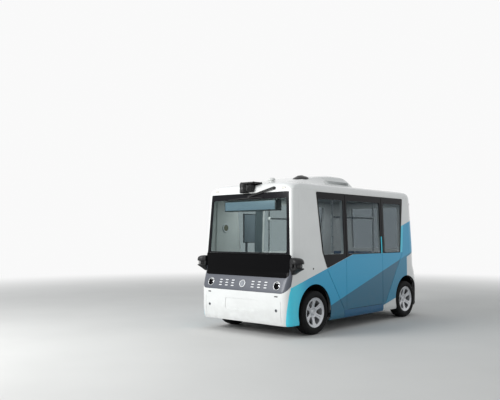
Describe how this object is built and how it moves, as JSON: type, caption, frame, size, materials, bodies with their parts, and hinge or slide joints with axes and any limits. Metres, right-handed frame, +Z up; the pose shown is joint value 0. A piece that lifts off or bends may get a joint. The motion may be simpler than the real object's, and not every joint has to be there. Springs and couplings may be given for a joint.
{
  "type": "self-driving airport passenger bus",
  "caption": "Small boxy electric shuttle bus for airport passengers, with large side glass, one wide door, sensor pods and four alloy wheels.",
  "frame": {"origin": "on the ground, below the centre of the bodywork", "axes": "+Z up, -Y towards the front, +X towards the door side"},
  "size_m": [2.276, 4.232, 2.62],
  "materials": {
    "frame_black": "satin black chassis paint",
    "battery_case": "satin grey paint",
    "motor_cast": "sand cast",
    "floor_grey": "speckled vinyl flooring",
    "liner_black": "grained black",
    "body_paint": "gloss white, with a blue film on the lower sides",
    "window_glass": "tinted, clean",
    "mask_black": "gloss black",
    "band_grey": "metallic grey",
    "lamp_clear": "clear lens over a black bowl",
    "light_white": "white diffuser",
    "ring_silver": "satin chrome",
    "lamp_red": "red lens",
    "lamp_amber": "pale marker lens",
    "door_paint": "blue film over gloss paint",
    "sensor_black": "fine grained black",
    "seat_fabric": "woven",
    "pole_steel": "brushed",
    "display_black": "dark screen, switched off",
    "knuckle_iron": "cast",
    "rim_alloy": "silver lacquer",
    "tyre_rubber": "road tyre"
  },
  "bodies": {
    "body": {"chassis_frame": "frame_black", "battery_pack": "battery_case", "drive_motor": "motor_cast", "floor_pan": "floor_grey", "wheel_liners": "liner_black", "side_wall_left": "body_paint", "side_wall_right": "body_paint", "roof_shell": "body_paint", "roof_pod": "body_paint", "front_shell": "body_paint", "rear_shell": "body_paint", "windscreen": "window_glass", "rear_window": "window_glass", "front_mask": "mask_black", "lamp_band": "band_grey", "headlamps": "lamp_clear", "light_bars": "light_white", "centre_ring": "ring_silver", "marker_lamps": "lamp_amber", "tail_lamps": "lamp_red", "body_fittings": "sensor_black", "door_leaf": "door_paint", "door_glass": "window_glass", "side_glass_left": "window_glass", "side_glass_right": "window_glass", "top_sensor": "sensor_black", "corner_sensors": "sensor_black", "roof_antennas": "sensor_black", "wiper": "sensor_black", "seat_cushions": "seat_fabric", "seat_backs": "seat_fabric", "grab_poles": "pole_steel", "display_panel": "display_black", "front_axle": "frame_black", "rear_axle": "frame_black"},
    "steering_left": {"knuckle_left": "knuckle_iron"},
    "steering_right": {"knuckle_right": "knuckle_iron"},
    "wheel_front_left": {"rim_front_left": "rim_alloy", "tyre_front_left": "tyre_rubber"},
    "wheel_front_right": {"rim_front_right": "rim_alloy", "tyre_front_right": "tyre_rubber"},
    "wheel_rear_left": {"rim_rear_left": "rim_alloy", "tyre_rear_left": "tyre_rubber"},
    "wheel_rear_right": {"rim_rear_right": "rim_alloy", "tyre_rear_right": "tyre_rubber"}
  },
  "joints": [
    {"name": "steer_left", "type": "hinge", "parent": "body", "child": "steering_left", "pos_m": [-0.76, -1.395, 0.345], "axis": [0, 0, 1], "range_deg": [-25, 25]},
    {"name": "steer_right", "type": "hinge", "parent": "body", "child": "steering_right", "pos_m": [0.76, -1.395, 0.345], "axis": [0, 0, 1], "range_deg": [-25, 25]},
    {"name": "spin_front_left", "type": "hinge", "parent": "steering_left", "child": "wheel_front_left", "pos_m": [-0.76, -1.395, 0.345], "axis": [1, 0, 0], "continuous": true},
    {"name": "spin_front_right", "type": "hinge", "parent": "steering_right", "child": "wheel_front_right", "pos_m": [0.76, -1.395, 0.345], "axis": [1, 0, 0], "continuous": true},
    {"name": "spin_rear_left", "type": "hinge", "parent": "body", "child": "wheel_rear_left", "pos_m": [-0.76, 1.505, 0.345], "axis": [1, 0, 0], "continuous": true},
    {"name": "spin_rear_right", "type": "hinge", "parent": "body", "child": "wheel_rear_right", "pos_m": [0.76, 1.505, 0.345], "axis": [1, 0, 0], "continuous": true}
  ],
  "couplings": [
    {"joint": "steer_left", "follows": "steer_right", "ratio": 1}
  ]
}
